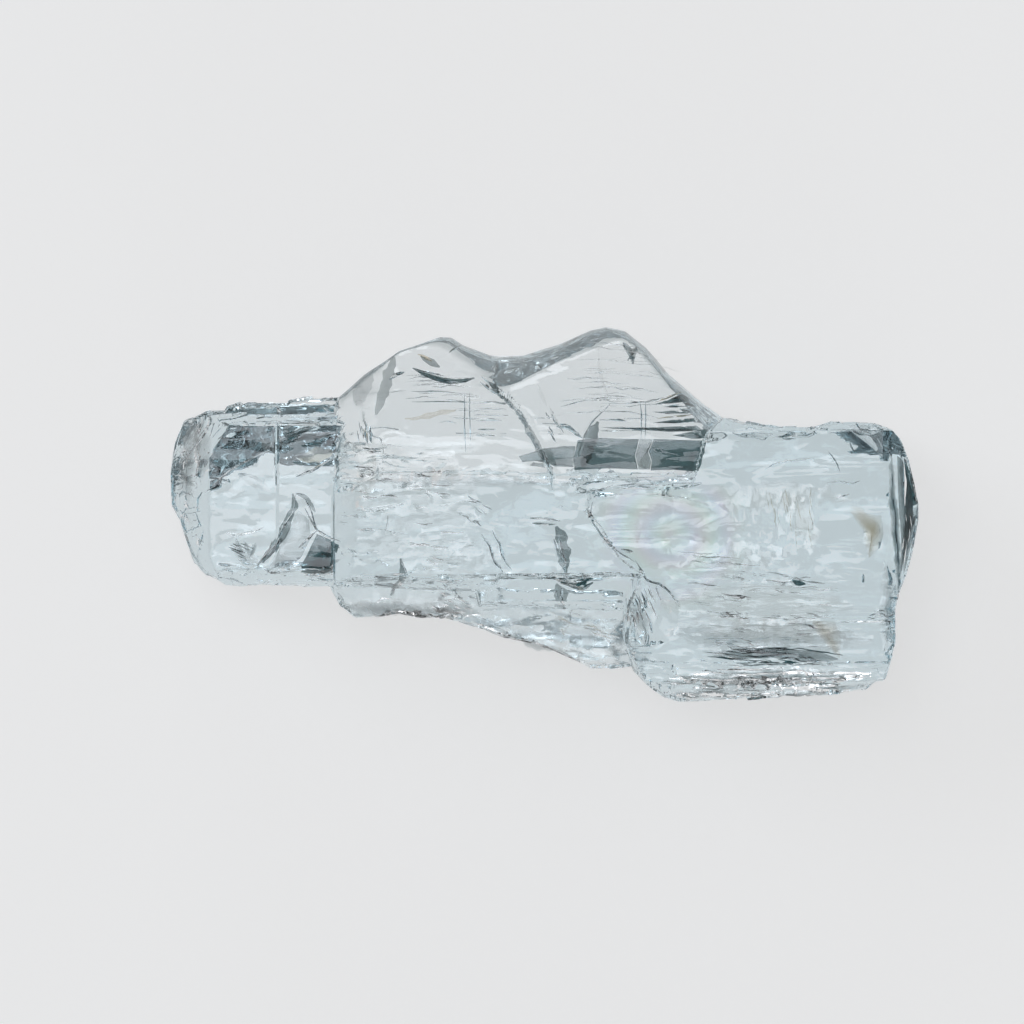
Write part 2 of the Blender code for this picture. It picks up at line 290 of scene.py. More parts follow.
def rayGrid():
    # rays from the spine to a box round the crystal: u runs from the -X pole to the +X pole, v round the
    # long axis
    fromX, toX, spineY, spineZ = crystal["spine"]
    halfX, halfY, halfZ = crystal["reach"]
    nu = crystal["columns"]
    cap = (halfY + halfZ) / 2
    total = 2 * halfX + 2 * cap
    u = (np.arange(nu) + 0.5) / nu * total
    targetX = np.clip(u - cap, 0, 2 * halfX) - halfX
    shrink = np.clip(np.minimum(u, total - u) / cap, 0, 1)
    corners = np.cumsum([0, *crystal["rows"]])
    v = np.arange(corners[-1])
    targetY = np.interp(v, corners, np.array([-1, 1, 1, -1, -1]) * halfY)
    targetZ = np.interp(v, corners, np.array([1, 1, -1, -1, 1]) * halfZ)
    originX = np.clip(targetX, fromX, toX)
    shape = (nu, len(v))
    ox = np.broadcast_to(originX[:, None], shape)
    dx = np.broadcast_to((targetX - originX)[:, None], shape)
    dy = shrink[:, None] * targetY[None, :]
    dz = shrink[:, None] * targetZ[None, :]
    length = np.sqrt(dx ** 2 + dy ** 2 + dz ** 2)
    return ox, spineY, spineZ, dx / length, dy / length, dz / length


def castSurface():
    # along every ray, the place where it leaves the solid, found by halving
    ox, oy, oz, dx, dy, dz = rayGrid()
    low = np.zeros(ox.shape)
    high = np.full(ox.shape, 10.5)
    for step in range(14):
        middle = (low + high) / 2
        inside = solidDistance(ox + dx * middle, oy + dy * middle, oz + dz * middle) < 0
        low = np.where(inside, middle, low)
        high = np.where(inside, high, middle)
    return np.stack([ox + dx * low, oy + dy * low, oz + dz * low], axis=-1)


def shuffle(i, j, k, seed):
    # a fixed random number from 0 to 1 for every whole-number place
    n = i * 374761393 + j * 668265263 + k * 1103515245 + seed * 974634777
    n = (n ^ (n >> 13)) * 1274126177
    n = n ^ (n >> 16)
    return (n & 0xFFFFFF) / 0xFFFFFF


def lattice(x, y, seed):
    # random numbers from -1 to 1 on whole-number places, blended smoothly between them
    i, j = (np.floor(c).astype(np.int64) for c in (x, y))
    u, v = x - i, y - j
    u, v = (t * t * (3 - 2 * t) for t in (u, v))
    low = shuffle(i, j, 0, seed) * (1 - v) + shuffle(i, j + 1, 0, seed) * v
    high = shuffle(i + 1, j, 0, seed) * (1 - v) + shuffle(i + 1, j + 1, 0, seed) * v
    return 2 * (low * (1 - u) + high * u) - 1


def layered(x, y, seed, layers=3):
    # lattice noise, each layer twice as fine and half as strong as the last
    return sum(lattice(x * 2 ** n, y * 2 ** n, seed + n) / 2 ** n for n in range(layers))


def chipped(x, y, seed, tilt=1.0):
    # every point belongs to its nearest random centre, and each centre has its own height and slope
    i, j = np.floor(x).astype(np.int64), np.floor(y).astype(np.int64)
    nearest = np.full(x.shape, 9.0)
    height = np.zeros(x.shape)
    for di in (-1, 0, 1):
        for dj in (-1, 0, 1):
            ci, cj = i + di, j + dj
            ex = x - ci - 0.1 - 0.8 * shuffle(ci, cj, 0, seed)
            ey = y - cj - 0.1 - 0.8 * shuffle(ci, cj, 1, seed)
            d = ex * ex + ey * ey
            own = shuffle(ci, cj, 2, seed) - 0.5
            own = own + tilt * ((shuffle(ci, cj, 3, seed) - 0.5) * ex + (shuffle(ci, cj, 4, seed) - 0.5) * ey)
            height = np.where(d < nearest, own, height)
            nearest = np.minimum(d, nearest)
    return height


def terraced(value, sharp=6):
    # flat treads at the whole numbers, with steep risers between them
    base = np.floor(value)
    return base + np.clip((value - base - 0.5) * sharp + 0.5, 0, 1)


def gridNormals(p):
    # across each point, the cross product of the steps along u and round v, which looks out
    along = np.gradient(p, axis=0)
    around = np.roll(p, -1, axis=1) - np.roll(p, 1, axis=1)
    n = np.cross(along, around)
    return n / np.maximum(np.linalg.norm(n, axis=-1, keepdims=True), 1e-12)


# Low relief that etching and breaking left on the blocks. Areas are outlines in picture pixels.
surfaceRelief = {
    "etched": [
        (338, 432), (400, 440), (452, 462), (475, 500), (500, 560), (500, 584), (345, 584), (336, 500),
    ],
    "ragged": [(325, 584), (500, 590), (545, 604), (625, 608), (645, 670), (560, 670), (330, 640)],
    "frosted": [(690, 566), (905, 575), (905, 640), (700, 648), (660, 600)],
    "fractured": [(728, 486), (812, 492), (822, 570), (735, 572)],
    "fin": [(344, 425), (560, 470), (715, 468), (730, 400), (640, 300), (430, 310), (330, 380)],
    "finEnd": [(340, 430), (386, 418), (388, 355), (410, 330), (340, 330)],
    "head": [(160, 400), (330, 395), (338, 600), (160, 600)],
    "headEnd": [(160, 405), (212, 415), (206, 470), (200, 500), (208, 570), (225, 600), (160, 600)],
    "end": [(878, 440), (930, 440), (930, 600), (882, 600)],
    "step": [(630, 640), (670, 664), (900, 662), (905, 700), (640, 720)],
}
reliefDepth = {     # how far each pattern moves the surface, mm, and "inset" how far the front starts inside
    "plain": 0.018, "uneven": 0.009, "etch": 0.03, "pits": 0.012, "frosted": 0.025, "fractured": 0.015,
    "rough": (0.05, 0.012), "chips": (0.12, 0.03), "step": 0.06, "growth": 0.012, "inset": 0.04,
    "sides": (0.13, 0.05), "back": 0.016, "slant": 0.012,
}
areas = {name: outlineField([place(*q) for q in outline]) for name, outline in surfaceRelief.items()}


def within(name, x, y, soft=0.3):
    # 1 inside the area and 0 outside, with a soft border
    return smooth(soft, -soft, readField(areas[name], x, y))


def relief(p, n):
    # how far each point moves along its normal, mm: stepped noise drawn out along X, and chips
    x, y, z = p[..., 0], p[..., 1], p[..., 2]
    up = smooth(0.5, 0.8, n[..., 2])
    down = smooth(0.6, 0.9, -n[..., 2])
    under = smooth(0.2, 0.5, -n[..., 2]) * (1 - down)
    side = 1 - up - down - under
    fin, head = within("fin", x, y, 0.15), within("head", x, y)
    depth = reliefDepth

    bend = layered(x / 2.2, y / 1.1, 11)
    plain = terraced(1.3 * layered(x / 3.5 + 0.3 * bend, y / 0.9, 21), 8)
    uneven = layered(x / 0.9 + bend, y / 0.3, 23)
    etch = terraced(1.8 * layered(x / 1.6, y / 0.42 + 0.6 * bend, 31), 2.5)
    pits = layered(x / 0.42, y / 0.2, 41)
    streaks = terraced(1.6 * layered(x / 2.6, y / 0.24, 35), 4)
    cracks = terraced(1.4 * layered(x / 0.3, y / 1.3, 37), 6)
    coarse, fine = depth["rough"]
    rough = coarse * chipped(x / 0.9, y / 0.5, 51) + fine * layered(x / 0.3, y / 0.2, 52)
    coarse, fine = depth["chips"]
    chips = coarse * chipped(x / 0.55, y / 0.6, 53) + fine * chipped(x / 0.2, y / 0.25, 54)
    growth = terraced(2.2 * layered(x / 6.0, y / 0.55 + 0.5 * bend, 55), 4)

    move = (1 - fin) * (1 - 0.6 * head) * depth["plain"] * plain + (1 - 0.5 * fin) * depth["uneven"] * uneven
    move = move + within("etched", x, y) * (depth["etch"] * etch + depth["pits"] * pits)
    move = move + within("frosted", x, y) * depth["frosted"] * streaks
    move = move + within("fractured", x, y) * depth["fractured"] * cracks
    move = move + within("ragged", x, y) * rough
    move = move + within("headEnd", x, y, 0.1) * chips
    move = move + within("step", x, y) * depth["step"] * streaks
    move = up * (move + fin * depth["growth"] * growth - depth["inset"])

    # the sides: flat chips and ledges, few on the fin's rim and the end
    calm = 1 - 0.9 * np.maximum(within("fin", x, y, 0.1), within("end", x, y, 0.1))
    coarse, fine = depth["sides"]
    sides = coarse * chipped(x / 1.1, z / 0.8, 61) + fine * chipped(x / 0.4, z / 0.35, 62)
    move = move + side * calm * sides

    # the underside: low steps, and a little unevenness on its slanting faces
    move = move + down * depth["back"] * terraced(1.5 * layered(x / 3.0, y / 0.7, 71), 8)
    move = move + under * depth["slant"] * layered(x / 0.9, z / 0.6, 81)
    return move


def frostOf(p, n):
    # how dull each place is, 0 to 1: broken and etched areas, in blotches
    x, y = p[..., 0], p[..., 1]
    blotch = smooth(-0.5, 0.6, layered(x / 0.5, y / 0.25, 91))
    up = smooth(0.2, 0.6, n[..., 2])
    dull = 0.8 * within("ragged", x, y) + 0.4 * within("frosted", x, y) + 0.45 * within("etched", x, y)
    dull = dull + 0.7 * within("finEnd", x, y) + 0.6 * within("headEnd", x, y) + 0.3 * within("step", x, y)
    side = smooth(0.5, 0.2, np.abs(n[..., 2])) * (1 - within("fin", x, y))
    return np.clip(up * dull * (0.4 + 0.6 * blotch) + 0.5 * side * blotch, 0, 1)


def gridMesh(name, p):
    # quads between neighbouring columns, closed round v, with a fan to a pole at each end
    nu, nv = p.shape[:2]
    points = p.reshape(-1, 3)
    poles = np.array([points[:nv].mean(axis=0), points[-nv:].mean(axis=0)])
    points = np.concatenate([points, poles]) * mm
    index = np.arange(nu * nv).reshape(nu, nv)
    after = np.roll(index, -1, axis=1)
    quads = np.stack([index[:-1], index[1:], after[1:], after[:-1]], axis=-1).reshape(-1, 4)
    first = np.stack([np.full(nv, nu * nv), index[0], after[0]], axis=-1)
    last = np.stack([np.full(nv, nu * nv + 1), after[-1], index[-1]], axis=-1)
    corners = np.concatenate([quads.ravel(), first.ravel(), last.ravel()])
    counts = np.concatenate([np.full(len(quads), 4), np.full(len(first) + len(last), 3)])
    return buildMesh(name, points, corners, counts)


def buildMesh(name, points, corners, counts):
    # a mesh from its points, the corners of all faces in one row, and how many corners each face has
    mesh = bpy.data.meshes.new(name)
    mesh.vertices.add(len(points))
    mesh.vertices.foreach_set("co", points.ravel())
    mesh.loops.add(len(corners))
    mesh.loops.foreach_set("vertex_index", corners)
    mesh.polygons.add(len(counts))
    mesh.polygons.foreach_set("loop_start", np.concatenate([[0], np.cumsum(counts)[:-1]]))
    mesh.update(calc_edges=True)
    mesh.validate()
    return mesh


# Flaws: cracks, each a closed hollow that tapers to its ends. Each is its greatest half width in pixels, its
# depth under the front in mm, how steep its roof is in degrees, how dull its walls are from 0 to 1, their
# tint (rust stain up to 1, painted shade in dark blue-grey down to -1), how much it wavers in pixels, and the
# pixels it runs through.
flaws = {
    "samplesPerPixel": 0.3,
    "across": (1, 0.6, 0.05, -0.55, -1, -0.6, 0.1, 0.5),      # a ring's points, from edge to edge and back
    "roofPoints": 5,        # how many of them are on the roof
    "strokeWaver": 1.5,     # how much a scribble's strokes waver, in pixels
    "lines": [
        # head: the wide λ legs are tinted with painted shade, one patch with a rust stain
        (1.6, 0.3, 66, 0, 0, 0.6, [(297, 477), (312, 471), (332, 460)]),
        (1.9, 0.4, 66, 0, 0, 0.5, [(229, 532), (238, 535), (247, 534)]),
        (1.2, 0.3, 53, 0, 0, 0.3, [(238, 534), (248, 533), (256, 531), (266, 527)]),
        (1.2, 0.3, 53, 0, 0, 0.3, [(209, 493), (219, 482), (232, 471), (247, 462), (258, 456), (271, 451)]),
        (5.0, 0.4, 25, 0.3, -0.63, 1.4, [(294, 494), (296, 507), (289, 522), (281, 538), (272, 552),
         (264, 562)]),
        (1.0, 0.3, 64, 0, 0, 1.0, [(298, 493), (294, 512), (284, 528), (276, 545), (262, 562)]),
        (2.8, 0.4, 25, 0.2, -0.49, 0.8, [(297, 494), (306, 497), (312, 505), (316, 513)]),
        (1.2, 0.3, 64, 0, 0, 0.8, [(305, 497), (311, 508), (314, 520), (319, 531)]),
        (1.4, 0.3, 53, 0, 0, 0.4, [(258, 566), (265, 558), (271, 549), (274, 541)]),
        (1.4, 0.3, 53, 0, 0, 0.4, [(300, 548), (310, 538), (318, 531)]),
        (1.2, 0.3, 53, 0, 0, 0.4, [(306, 508), (312, 520), (318, 530), (330, 537), (343, 541)]),
        (5.0, 0.5, 7, 0.4, 0, 1.0, [(240, 474), (256, 482), (272, 490)]),
        (7.0, 0.6, 12, 0.5, 0.3, 1.5, [(300, 458), (316, 456), (334, 452)]),
        # left part of the fin: the swoosh and the strokes by the rim are tinted with painted shade, two
        # strokes with rust
        (3.4, 0.4, 60, 0, -1, 0.8, [(414, 371), (424, 376), (436, 381), (452, 384), (464, 384), (474, 381)]),
        (1.2, 0.3, 60, 0, -1, 0.3, [(413, 370), (420, 374), (430, 379), (442, 382)]),
        (1.8, 0.4, 66, 0, 0, 0.3, [(391, 382), (397, 379), (405, 375)]),
        (3.8, 0.4, 12, 0, -0.6, 0.6, [(421, 359), (428, 363), (440, 370)]),
        (1.6, 0.4, 20, 0, 0.5, 0.5, [(418, 357), (425, 360), (432, 364)]),
        (0.6, 0.3, 66, 0, 0, 0.3, [(412, 394), (440, 394), (473, 396)]),
        (0.6, 0.3, 66, 0, 0, 0.3, [(412, 404), (450, 404), (483, 405)]),
        (0.9, 0.4, 66, 0, 0, 0.3, [(473, 406), (490, 405), (504, 407)]),
        (0.8, 0.4, 66, 0, 0, 0.3, [(475, 411), (490, 411), (506, 412)]),
        (0.9, 0.4, 66, 0, 0, 0.3, [(474, 417), (490, 417), (508, 418)]),
        (0.9, 0.4, 66, 0, 0, 0.3, [(476, 423), (490, 422), (502, 423)]),
        (1.0, 0.4, 66, 0, 0, 0.3, [(478, 431), (487, 431), (496, 431)]),
        (1.0, 0.4, 66, 0, 0, 0.3, [(476, 437), (486, 437), (495, 438)]),
        (0.5, 0.3, 66, 0, 0, 0.2, [(465, 394), (465, 410), (465, 430), (466, 452)]),
        (0.5, 0.3, 66, 0, 0, 0.2, [(470, 394), (470, 418), (471, 442)]),
        (2.4, 0.5, 12, 0.4, 0.25, 2.0, [(406, 422), (420, 420), (436, 417), (457, 413)]),
        (3.0, 0.4, 66, 0, 0, 1.6, [(481, 379), (489, 386), (497, 391), (505, 398)]),
        (1.9, 0.3, 45, 0, 0, 1.5, [(480, 384), (488, 391), (500, 398)]),
        (1.3, 0.3, 45, 0, 0, 0.6, [(449, 355), (455, 351), (461, 347)]),
        (1.5, 0.4, 62, 0, 0, 0.8, [(500, 392), (510, 404), (520, 414), (528, 426)]),
        (4.2, 0.5, 26, 0.4, -0.35, 1.4, [(498, 392), (514, 408), (526, 424), (534, 442), (543, 458),
         (550, 470)]),
        (5.0, 0.5, 5, 0.5, -0.45, 1.2, [(396, 358), (391, 376), (386, 396), (379, 418)]),
        (8.0, 0.5, 2, 0.5, -0.25, 1.0, [(374, 374), (366, 392), (359, 408)]),
        # right part of the fin: a fan of wedges, a streak and an arc; the streak is tinted with painted
        # shade, some wedges with rust
        (1.6, 0.3, 28, 0, 0, 0.4, [(598, 350), (598, 365), (601, 382), (609, 402)]),
        (1.8, 0.3, 28, 0, 0, 0.6, [(537, 386), (540, 396), (546, 408)]),
        (1.8, 0.3, 28, 0, 0, 0.6, [(549, 408), (553, 418), (560, 430)]),
        (1.6, 0.3, 28, 0, 0, 0.3, [(614, 401), (604, 411), (591, 423), (583, 436), (578, 452), (575, 470)]),
        (6.5, 0.5, 12, 0.1, -0.7, 1.0, [(597, 424), (592, 436), (587, 450), (583, 468)]),
        (0.9, 0.3, 30, 0, 0.6, 0.4, [(654, 404), (668, 399), (682, 394)]),
        (0.8, 0.3, 30, 0, 0.5, 0.4, [(656, 420), (672, 418), (690, 417)]),
        (0.9, 0.4, 66, 0, 0, 0.3, [(598, 422), (615, 422), (632, 423)]),
        (0.8, 0.4, 66, 0, 0, 0.3, [(600, 406), (624, 406), (645, 404), (665, 400)]),
        (0.6, 0.4, 66, 0, 0, 0.3, [(560, 409), (585, 403), (610, 401)]),
        (0.6, 0.3, 66, 0, 0, 0.2, [(639, 402), (641, 418), (640, 440)]),
        (0.6, 0.3, 66, 0, 0, 0.2, [(645, 404), (645, 420), (644, 440)]),
        (2.4, 0.4, 66, 0, 0, 0.8, [(622, 346), (627, 352), (631, 360), (632, 366)]),
        (1.8, 0.4, 66, 0, 0, 0.8, [(633, 350), (632, 358), (627, 363)]),
        (2.2, 0.4, 66, 0.2, 0.3, 0.8, [(556, 428), (567, 429), (574, 434), (582, 440)]),
        (1.6, 0.3, 53, 0, 0, 0.5, [(541, 448), (544, 460), (550, 474), (552, 490)]),
        (5.0, 0.5, 12, 0.5, 0, 1.0, [(636, 447), (642, 458), (645, 470)]),
        # core: broken lines, leaf marks and the long crack; the crack and the leaf marks are tinted with
        # painted shade
        (1.2, 0.4, 53, 0, 0, 0.3, [(530, 519), (540, 519), (560, 521)]),
        (1.1, 0.4, 53, 0, 0, 0.3, [(532, 523), (545, 524), (556, 524)]),
        (0.9, 0.4, 66, 0, 0, 0.5, [(575, 494), (588, 492), (600, 490), (612, 486)]),
        (1.9, 0.4, 66, 0, 0, 0.5, [(586, 494), (592, 491), (598, 490)]),
        (0.8, 0.3, 66, 0, 0, 0.5, [(612, 486), (630, 485), (660, 487)]),
        (0.9, 0.4, 66, 0, 0, 0.2, [(672, 490), (680, 488), (690, 487), (700, 484)]),
        (1.0, 0.4, 66, 0, 0, 0.2, [(660, 486), (676, 484), (690, 484), (700, 483)]),
        (1.4, 0.5, 66, 0, -1, 1.0, [(485, 577), (505, 576), (530, 575), (555, 574)]),
        (3.4, 0.5, 64, 0, -1, 2.0, [(545, 575), (560, 578), (575, 580), (586, 578), (600, 575), (622, 572)]),
        (3.0, 0.6, 64, 0, -1, 2.0, [(560, 581), (570, 583), (582, 586), (592, 580)]),
        (1.6, 0.4, 66, 0, 0, 1.2, [(552, 572), (568, 576), (584, 576), (600, 572), (620, 571)]),
        (0.8, 0.4, 66, 0, 0.4, 0.5, [(620, 572), (634, 576), (644, 576)]),
        (0.9, 0.4, 66, 0, 0, 0.5, [(424, 555), (436, 556), (450, 559)]),
        (1.0, 0.4, 66, 0, 0, 0.8, [(432, 575), (445, 576), (462, 578)]),
        (3.2, 0.5, 14, 0.2, -0.7, 2.2, [(401, 558), (404, 570), (398, 582), (391, 592)]),
        (7.0, 0.5, 14, 0.2, -0.7, 2.0, [(556, 526), (561, 540), (564, 556), (565, 572)]),
        (6.0, 0.5, 14, 0.2, -0.56, 2.0, [(557, 582), (560, 592), (562, 605)]),
        (8.0, 0.4, 9, 0.2, 0, 1.0, [(450, 560), (460, 550), (476, 538)]),
        (1.4, 0.3, 53, 0, 0, 0.8, [(482, 534), (490, 545), (494, 560), (503, 572)]),
        (1.2, 0.3, 53, 0, 0, 0.8, [(492, 530), (499, 542), (502, 556), (511, 568)]),
        (9, 0.5, 4, 0.2, 0.06, 4.0, [(352, 446), (364, 452), (370, 470), (366, 500)]),
        # butt: the plate's broken border, arcs and small cracks, some with rust stains and two short marks in
        # painted shade
        (1.1, 0.3, 66, 0, 0.3, 0.9, [(592, 502), (590, 512), (592, 522), (600, 534), (609, 546),
         (622, 555), (634, 562)]),
        (2.6, 0.4, 66, 0.2, 0, 1.2, [(601, 534), (606, 542), (614, 550)]),
        (1.8, 0.4, 66, 0, 0, 0.6, [(620, 549), (627, 551), (632, 552)]),
        (1.0, 0.3, 66, 0, 0.6, 0.4, [(634, 560), (641, 570), (644, 577), (660, 582), (672, 592), (678, 606)]),
        (0.7, 0.3, 66, 0, 0.2, 0.3, [(763, 470), (772, 464), (786, 461), (812, 459)]),
        (0.7, 0.3, 66, 0, 0.2, 0.4, [(826, 452), (833, 462), (837, 472)]),
        (0.7, 0.3, 66, 0, 0, 0.3, [(848, 434), (847, 446), (853, 455)]),
        (0.8, 0.3, 66, 0, 0, 0.4, [(832, 498), (840, 496), (847, 494)]),
        (0.8, 0.3, 66, 0, 0, 0.4, [(824, 483), (836, 481), (848, 484), (857, 481)]),
        (2.6, 0.4, 30, 0, -1, 0.8, [(790, 579), (796, 583), (803, 583)]),
        (1.6, 0.4, 66, 0, 0, 0.8, [(778, 584), (784, 584)]),
        (2.0, 0.4, 66, 0, 0, 0.8, [(732, 571), (738, 573), (744, 572)]),
        (0.9, 0.3, 66, 0, 0, 0.3, [(860, 573), (860, 583)]),
        (1.2, 0.4, 53, 0, 0, 0.4, [(837, 621), (860, 620), (893, 621)]),
        (1.2, 0.4, 66, 0, 0, 0.8, [(862, 618), (874, 613), (884, 616), (893, 611)]),
        (2.6, 0.4, 30, 0, -1, 0.8, [(832, 676), (839, 674), (846, 678)]),
        (1.2, 0.3, 53, 0, 0, 0.4, [(700, 668), (740, 671), (790, 668), (830, 671)]),
        (1.0, 0.3, 53, 0, 0, 0.4, [(690, 674), (730, 677), (780, 675), (820, 678)]),
        (1.6, 0.3, 53, 0, 0, 0.3, [(899, 464), (900, 480), (900, 506)]),
    ],
    # veils: wide thin cracks that are nearly level, tinted like the lines: rust above 0, painted shade below
    # 0
    "veils": [
        (26, 0.25, 1.2, 0.12, 0.05, 6.0, [(588, 512), (640, 512), (700, 522), (742, 528)]),
        (20, 0.35, 1.6, 0.12, 0.04, 6.0, [(602, 540), (650, 556), (720, 560), (790, 552)]),
        (14, 0.25, 1.4, 0.2, 0.06, 5.0, [(690, 496), (740, 500), (800, 496), (850, 500)]),
        (22, 0.3, 1.2, 0.2, 0.08, 6.0, [(660, 600), (700, 606), (760, 602), (850, 606)]),
        (12, 0.4, 1.5, 0.25, 0.1, 5.0, [(690, 630), (740, 632), (800, 630), (850, 636)]),
        (30, 0.3, 1.2, 0.1, 0.03, 7.0, [(344, 500), (390, 496), (440, 506), (480, 520)]),
        (18, 0.4, 1.5, 0.15, 0.03, 6.0, [(350, 540), (400, 548), (450, 552), (500, 556)]),
        (16, 0.3, 1.5, 0.12, 0.03, 5.0, [(420, 452), (440, 462), (462, 480), (478, 500)]),
        (14, 0.3, 1.6, 0.15, 0.1, 5.0, [(780, 490), (792, 510), (804, 530), (812, 552)]),
        (8.0, 0.55, 3, 0.3, 0.3, 3.0, [(846, 506), (860, 516), (870, 530), (864, 556)]),
        (7.0, 0.55, 3, 0.2, 0.2, 3.0, [(808, 616), (822, 632), (838, 654)]),
        # frosted, over the foot of the core's back
        (7, 0.2, 2, 0.6, 0, 2.0, [(338, 478), (400, 480), (470, 481), (530, 482), (576, 483)]),
        (5, 0.35, 2, 0.5, -0.1, 1.0, [(482, 480), (498, 481), (514, 482)]),
        # head: the broken left end and dim patches, darkened with painted shade
        (9, 0.4, 5, 0.5, -0.42, 2.0, [(196, 424), (193, 450), (190, 480), (194, 504)]),
        (9, 0.4, 5, 0.4, -0.35, 3.0, [(206, 424), (208, 450), (206, 480)]),
        (4, 0.3, 8, 0.4, -0.56, 2.0, [(198, 430), (202, 445), (200, 458)]),
        (4, 0.3, 8, 0.4, -0.56, 2.0, [(186, 472), (192, 482), (200, 486)]),
        (9, 0.5, 5, 0.3, -0.28, 3.0, [(236, 548), (250, 556), (262, 560)]),
        (8, 0.5, 5, 0.2, -0.28, 2.0, [(272, 566), (286, 560), (300, 562)]),
        (3, 0.5, 8, 0.2, -0.56, 1.0, [(237, 538), (241, 548), (246, 556)]),
        (3, 0.5, 8, 0.2, -0.56, 1.0, [(246, 540), (249, 549), (252, 556)]),
        (3, 0.5, 8, 0.2, -0.56, 1.0, [(257, 542), (254, 551), (250, 558)]),
        (4, 0.4, 8, 0, -1, 1.2, [(288, 444), (304, 437), (322, 436), (336, 434)]),
        (3, 0.4, 8, 0, -0.98, 1.2, [(282, 440), (294, 434), (308, 429), (318, 428)]),
        (6, 0.5, 6, 0.1, -0.56, 1.2, [(296, 456), (306, 457), (316, 456)]),
        # butt: the dim streak, the end and the lower step, darkened with painted shade
        (4, 0.4, 6, 0.1, -0.9, 0.8, [(886, 450), (888, 490), (891, 530), (894, 568), (895, 604)]),
        (5, 0.5, 5, 0.2, -0.8, 1.2, [(895, 452), (899, 480), (902, 505), (901, 530), (897, 562)]),
        (6, 0.4, 8, 0.2, -0.42, 1.0, [(903, 500), (905, 520), (902, 545), (896, 566)]),
        (7, 0.4, 6, 0.3, -0.28, 2.0, [(880, 560), (884, 590), (882, 620), (880, 650)]),
        (6, 0.4, 8, 0.3, -0.42, 2.0, [(664, 690), (690, 690), (720, 688), (750, 690)]),
        (5, 0.4, 8, 0.3, -0.35, 2.0, [(740, 688), (790, 690), (830, 686), (872, 682)]),
        (9, 0.4, 6, 0.4, -0.35, 2.5, [(630, 598), (636, 616), (644, 636)]),
        (10, 0.35, 4, 0.3, -0.6, 2.5, [(668, 674), (720, 676), (790, 674), (868, 672)]),
        (18, 0.35, 3, 0.25, -0.3, 4.0, [(664, 630), (720, 636), (790, 636), (870, 640)]),
        # the ledge, darkened with painted shade
        (9, 0.5, 3, 0.4, -0.4, 2.0, [(346, 602), (364, 605), (400, 607), (440, 610)]),
        (9, 0.4, 4, 0.5, -0.25, 3.0, [(346, 600), (380, 606), (430, 608), (470, 614)]),
        (10, 0.4, 4, 0.3, -0.5, 3.0, [(430, 601), (452, 605), (484, 612)]),
        (5, 0.6, 5, 0, -0.8, 1.0, [(302, 567), (318, 568), (334, 566), (346, 558)]),
        (5, 0.4, 6, 0.3, -0.35, 2.0, [(470, 618), (500, 630), (540, 646), (590, 660)]),
    ],
    # facets: depth under the front and half height in mm, dullness, the tint of their tip and rim (rust above
    # 0, painted shade below 0), the tip's pixel and the rim's pixels
    "facets": [
        # head: a dark triangle and a grey facet, both painted shade
        (0.5, 0.05, 0, -1, -0.9, (322, 552), [(302, 566), (310, 551), (318, 534), (330, 539), (345, 545),
         (346, 556), (336, 563), (325, 571), (312, 569)]),
        (0.4, 0.05, 0.1, -0.14, -0.35, (296, 536), [(300, 510), (310, 520), (312, 538), (302, 558),
         (290, 567), (270, 567), (284, 540)]),
        # a swoosh and a knot at the fin's left part, painted shade
        (0.3, 0.03, 0, -1, -0.85, (452, 384), [(413, 370.5), (424, 374), (440, 379), (456, 381.5),
         (474, 380), (466, 385), (450, 387.5), (434, 382.5), (422, 377)]),
        (0.3, 0.03, 0, -1, -0.8, (500, 394), [(487, 384), (497, 387), (504, 394), (507, 400), (499, 398),
         (491, 391)]),
        # the dark band under the fin, painted shade
        (0.35, 0.03, 0, -0.96, -0.86, (598, 460), [(577, 441), (600, 439), (638, 440), (634, 456),
         (637, 470), (606, 469), (574, 471), (573, 458)]),
        (0.35, 0.03, 0.1, -0.6, -0.66, (643, 456), [(638.5, 440), (652, 440), (647, 452), (650, 462),
         (649, 470), (637.5, 470), (634.5, 456)]),
        (0.35, 0.03, 0, -1, -0.92, (680, 463), [(652.5, 440), (704, 441), (703, 452), (697, 472),
         (672, 470), (649.5, 471), (650.5, 461), (647.5, 452)]),
        (0.35, 0.03, 0, -0.9, -0.65, (556, 459), [(519, 456), (545, 448), (575, 446), (573, 468),
         (556, 467), (535, 461), (522, 463)]),
        # dark wedges that fan out to the right over it, painted shade
        (0.3, 0.02, 0, -1, -0.84, (678, 401), [(653, 407), (668, 402), (682, 397), (687, 402), (684, 405),
         (668, 407)]),
        (0.3, 0.02, 0, -1, -0.84, (684, 408.5), [(662, 409.5), (690, 406.5), (692, 409.5), (676, 410.5)]),
        (0.3, 0.02, 0, -0.98, -0.7, (678, 414.5), [(650, 413.8), (672, 413), (688, 413.5), (686, 416),
         (668, 415.5)]),
        (0.3, 0.02, 0, -1, -0.84, (686, 422.5), [(652, 424.5), (672, 421.5), (692, 420.5), (693, 424),
         (672, 425)]),
        (0.3, 0.02, 0, -1, -0.7, (680, 430), [(599, 429), (620, 428.5), (645, 429), (694, 427),
         (700, 432), (668, 433), (640, 431.5), (615, 430.5)]),
        (0.3, 0.02, 0, -1, -0.84, (696, 436), [(671, 436.5), (684, 434), (704, 431), (706, 439),
         (690, 439.5)]),
        (0.3, 0.05, 0, -0.84, -0.42, (631, 358), [(621, 347), (628, 350), (636, 352), (634, 360),
         (632, 367), (627, 357)]),
        # butt: the upper corner, the end and the dim streak, painted shade
        (0.3, 0.05, 0, -0.15, -0.3, (868, 436), [(843, 428), (862, 428), (880, 431), (879, 457),
         (866, 446), (853, 436)]),
        (0.5, 0.05, 0, -1, -0.9, (907, 490), [(898, 458), (903, 462), (908, 474), (912, 490), (914, 504),
         (907, 507), (903, 496), (900, 478)]),
